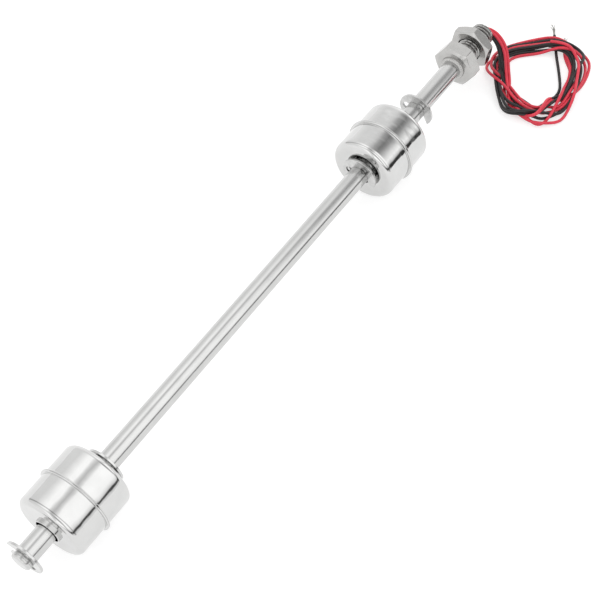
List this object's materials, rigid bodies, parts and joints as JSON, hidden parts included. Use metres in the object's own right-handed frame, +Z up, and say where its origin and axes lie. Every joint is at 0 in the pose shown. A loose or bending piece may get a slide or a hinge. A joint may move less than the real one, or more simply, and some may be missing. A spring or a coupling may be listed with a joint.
{
  "type": "float level switch",
  "caption": "Stainless vertical level switch: a slim stem with sliding drum floats between clips, a hex head with a threaded shank and lock nut, and coiled lead wires.",
  "frame": {"origin": "on the surface that the switch lies on, below its axis, halfway along its length from the closed end of the stem to the end of the thread", "axes": "+X along the stem towards the threaded end, +Z up, the floats' seam beads touch Z = 0"},
  "size_m": [0.3284, 0.0626, 0.03],
  "materials": {
    "satin_steel": "satin drawn tube",
    "polished_steel": "bright polished",
    "head_steel": "fine turned and milled, satin",
    "clip_steel": "stamped, tumbled bright",
    "magnet_ferrite": "matt",
    "collar_plastic": "matt moulded",
    "reed_glass": "clear",
    "reed_lead_metal": "tinned",
    "shrink_plastic": "satin",
    "potting_resin": "cast, semi-gloss",
    "red_insulation": "soft gloss",
    "black_insulation": "soft gloss",
    "bare_strands": "tinned stranded copper"
  },
  "bodies": {
    "stem": {"stem_tube": "satin_steel", "stem_end_plug": "satin_steel", "mounting_head": "head_steel", "lower_float_bottom_clip": "clip_steel", "lower_float_top_clip": "clip_steel", "upper_float_bottom_clip": "clip_steel", "upper_float_top_clip": "clip_steel", "potting_plug": "potting_resin", "wire_coil": "red_insulation", "lower_reed_glass": "reed_glass", "lower_reed_leads": "reed_lead_metal", "lower_reed_shrink_sleeve": "shrink_plastic", "upper_reed_glass": "reed_glass", "upper_reed_leads": "reed_lead_metal", "upper_reed_shrink_sleeve": "shrink_plastic", "inner_red_wire_1": "red_insulation", "inner_black_wire_1": "black_insulation", "red_wire_1": "red_insulation", "black_wire_1": "black_insulation", "inner_red_wire_2": "red_insulation", "inner_black_wire_2": "black_insulation", "red_wire_2": "red_insulation", "black_wire_2": "black_insulation", "black_wire_tail": "black_insulation", "black_wire_bare_end": "bare_strands", "red_wire_bare_end": "bare_strands"},
    "lower_float": {"lower_float_bottom_shell": "polished_steel", "lower_float_top_shell": "polished_steel", "lower_float_sleeve": "polished_steel", "lower_float_magnet": "magnet_ferrite", "lower_float_magnet_collars": "collar_plastic"},
    "upper_float": {"upper_float_bottom_shell": "polished_steel", "upper_float_top_shell": "polished_steel", "upper_float_sleeve": "polished_steel", "upper_float_magnet": "magnet_ferrite", "upper_float_magnet_collars": "collar_plastic"},
    "lock_nut": {"lock_nut": "head_steel"}
  },
  "joints": [
    {"name": "lower_float_slide", "type": "slide", "parent": "stem", "child": "lower_float", "axis": [1, 0, 0], "range_m": [-0.0104, 0.001]},
    {"name": "upper_float_slide", "type": "slide", "parent": "stem", "child": "upper_float", "axis": [1, 0, 0], "range_m": [0, 0.0114]},
    {"name": "lock_nut_travel", "type": "slide", "parent": "stem", "child": "lock_nut", "axis": [1, 0, 0], "range_m": [-0.0061, 0.006]}
  ]
}
